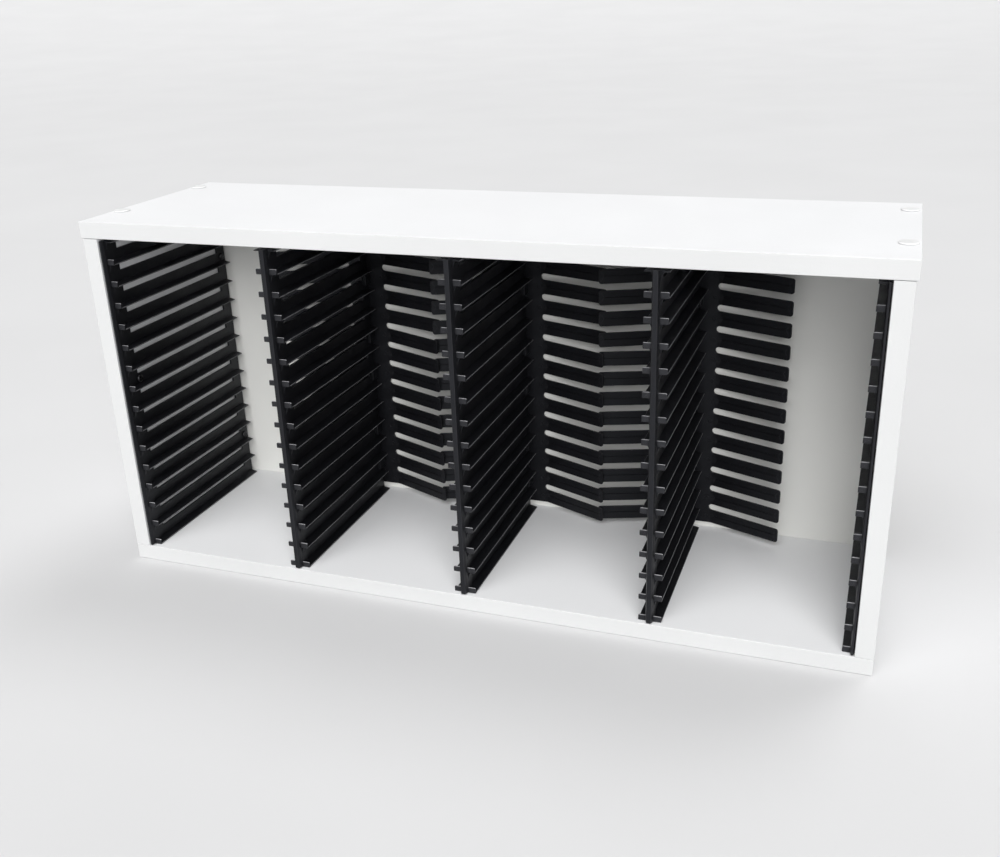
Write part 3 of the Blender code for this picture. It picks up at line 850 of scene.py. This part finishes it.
def make_caps(material):
    for side in SIDES:
        for end in ("front", "back"):
            name = f"{side}_{end}_cap"
            low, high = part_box(name)
            centre = ((low.x + high.x) / 2, (low.y + high.y) / 2, high.z)
            bm = new_mesh()
            add_plate(bm, axes(centre, X, Y, -Z), circle((high.x - low.x) / 2, CAP_POINTS), CAP_PROFILE)
            add_piece(name + "_cover", bm, material, [name])


def cross_recess():
    quarter = [(CROSS_ARM, -CROSS_HALF), (CROSS_ARM, CROSS_HALF), (CROSS_HALF, CROSS_HALF)]
    loop = []
    for turn in range(4):
        spin = Matrix.Rotation(math.pi / 2 * turn, 2)
        loop += [(*(spin @ Vector(point)), 0.0) for point in quarter]
    return loop


def make_small_screw(node, direction, material):
    """Pan head screw with a cross recess."""
    low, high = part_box(node)
    middle = (low + high) / 2
    along = Vector(direction)
    length = abs((high - low).dot(along))
    origin = middle - along * length / 2
    u = Z.cross(along)
    profile = [(inset * PAN_R, depth * PAN_TALL, mark) for inset, depth, mark in PAN_SHARES]
    head, shank = new_mesh(), new_mesh()
    add_plate(head, axes(origin, u, Z, along), circle(PAN_R), profile,
              sunk=[(cross_recess(), CROSS_DEEP, RECESS_DRAFT)])
    add_plate(shank, axes(origin + along * PAN_TALL / 2, u, Z, along),
              circle(SMALL_SHANK_R, SMALL_SHANK_POINTS),
              rim_sections(SMALL_SHANK_ROUND, length - PAN_TALL / 2))
    add_piece(node + "_pan", joined([head, shank]), material, [node])


def make_case_screw(node, direction, material):
    """Board screw whose straight head has a hexagon socket."""
    low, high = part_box(node)
    along = Z * direction
    origin = Vector(((low.x + high.x) / 2, (low.y + high.y) / 2, low.z if direction > 0 else high.z))
    head, shank = new_mesh(), new_mesh()
    add_plate(head, axes(origin, X, Y, along), circle((high.x - low.x) / 2),
              rim_sections(HEAD_ROUND, HEAD_TALL),
              sunk=[(circle(SOCKET_R, SOCKET_SIDES), SOCKET_DEEP, RECESS_DRAFT)])
    add_plate(shank, axes(origin + along * SHANK_START, X, Y, along), circle(SHANK_R, SHANK_POINTS),
              rim_sections(SHANK_ROUND, high.z - low.z - SHANK_START))
    add_piece(node + "_socket", joined([head, shank]), material, [node])


def make_screws(zinc, dark):
    for side, sign in SIDES.items():
        for spot in ("front", "upper_back", "lower_back"):
            make_small_screw(f"{side}_rail_{spot}_screw", X * sign, dark)
        for end in ("front", "back"):
            make_case_screw(f"top_{side}_{end}_screw", -1, zinc)
            make_case_screw(f"bottom_{side}_{end}_screw", 1, zinc)
    for name in DIVIDERS:
        for spot in ("upper", "lower"):
            make_small_screw(f"{name}_divider_{spot}_screw", -Y, zinc)


# Floor, light and camera

FLOOR_DROP = 0.0002
FLOOR_FLAT = 4.0
FLOOR_HALF = 20.0
FLOOR_RISE = 4.0
FLOOR_STEPS = 24
FLOOR_POINTS = 64

SKY_STRENGTH = 0.05
# Name, azimuth from the front to the right, elevation, strength and width; angles in degrees
LIGHTS = (("right_low", 33.0, 18.0, 1.1, 26.0), ("camera_side", 9.0, 25.0, 0.75, 24.0),
          ("front_high", 0.0, 57.0, 2.25, 52.0), ("overhead", 0.0, 89.0, 0.35, 70.0),
          ("behind", 150.0, 62.0, 0.85, 25.0))

IMAGE_W = 1000
FOCAL_PX = 1093.248
CLIP_START = 0.01
CAMERA_PLACE = (0.2672, -0.71052, 0.41944)
CAMERA_TURN = math.radians(20.444)
CAMERA_DIP = math.radians(22.241)
CAMERA_ROLL = math.radians(-2.073)


def make_floor():
    """Flat floor that rises far away, so that no horizon shows."""
    bm = bmesh.new()
    rings = []
    for step in range(FLOOR_STEPS + 1):
        share = step / FLOOR_STEPS
        radius = FLOOR_FLAT + (FLOOR_HALF - FLOOR_FLAT) * share
        height = FLOOR_RISE * share ** 2 - FLOOR_DROP
        rings.append([bm.verts.new((x, y, height)) for x, y, _ in circle(radius, FLOOR_POINTS)])
    bm.faces.new(rings[0])
    for low, high in zip(rings, rings[1:]):
        for i in range(FLOOR_POINTS):
            bm.faces.new((low[i - 1], high[i - 1], high[i], low[i]))
    mesh = bpy.data.meshes.new("floor")
    bm.to_mesh(mesh)
    bm.free()
    mesh.shade_smooth()
    mesh.materials.append(floor_paint())
    floor = bpy.data.objects.new("floor", mesh)
    bpy.context.collection.objects.link(floor)


def add_light(name, azimuth, elevation, strength, width):
    lamp = bpy.data.lights.new(name, "SUN")
    lamp.energy = strength
    lamp.angle = math.radians(width)
    item = bpy.data.objects.new(name, lamp)
    turn, rise = math.radians(azimuth), math.radians(elevation)
    towards = Vector((math.sin(turn) * math.cos(rise), -math.cos(turn) * math.cos(rise), math.sin(rise)))
    item.location = towards
    item.rotation_euler = (-towards).to_track_quat("-Z", "Y").to_euler()
    bpy.context.collection.objects.link(item)


def make_light():
    world = bpy.data.worlds.new("studio")
    world.use_nodes = True
    sky = world.node_tree.nodes["Background"]
    sky.inputs["Color"].default_value = (1.0, 1.0, 1.0, 1.0)
    sky.inputs["Strength"].default_value = SKY_STRENGTH
    scene = bpy.context.scene
    scene.world = world
    scene.view_settings.view_transform = "Standard"
    for light in LIGHTS:
        add_light(*light)


def make_camera():
    lens = bpy.data.cameras.new("camera")
    lens.sensor_fit = "HORIZONTAL"
    lens.lens = lens.sensor_width * FOCAL_PX / IMAGE_W
    lens.clip_start = CLIP_START
    item = bpy.data.objects.new("camera", lens)
    turn = (Matrix.Rotation(CAMERA_TURN, 4, "Z") @ Matrix.Rotation(math.pi / 2 - CAMERA_DIP, 4, "X")
            @ Matrix.Rotation(CAMERA_ROLL, 4, "Z"))
    item.matrix_world = Matrix.Translation(CAMERA_PLACE) @ turn
    bpy.context.collection.objects.link(item)
    bpy.context.scene.camera = item


make_boards(*(white_board(name, *look) for name, look in BOARD_LOOKS.items()))
make_rails(black_plastic("rail_plastic", RAIL_SPECULAR))
make_combs(black_plastic("comb_plastic", COMB_SPECULAR))
make_caps(cap_plastic())
make_screws(screw_metal("zinc_plate", *ZINC_LOOK), screw_metal("black_zinc", *BLACK_ZINC_LOOK))
make_floor()
make_light()
make_camera()
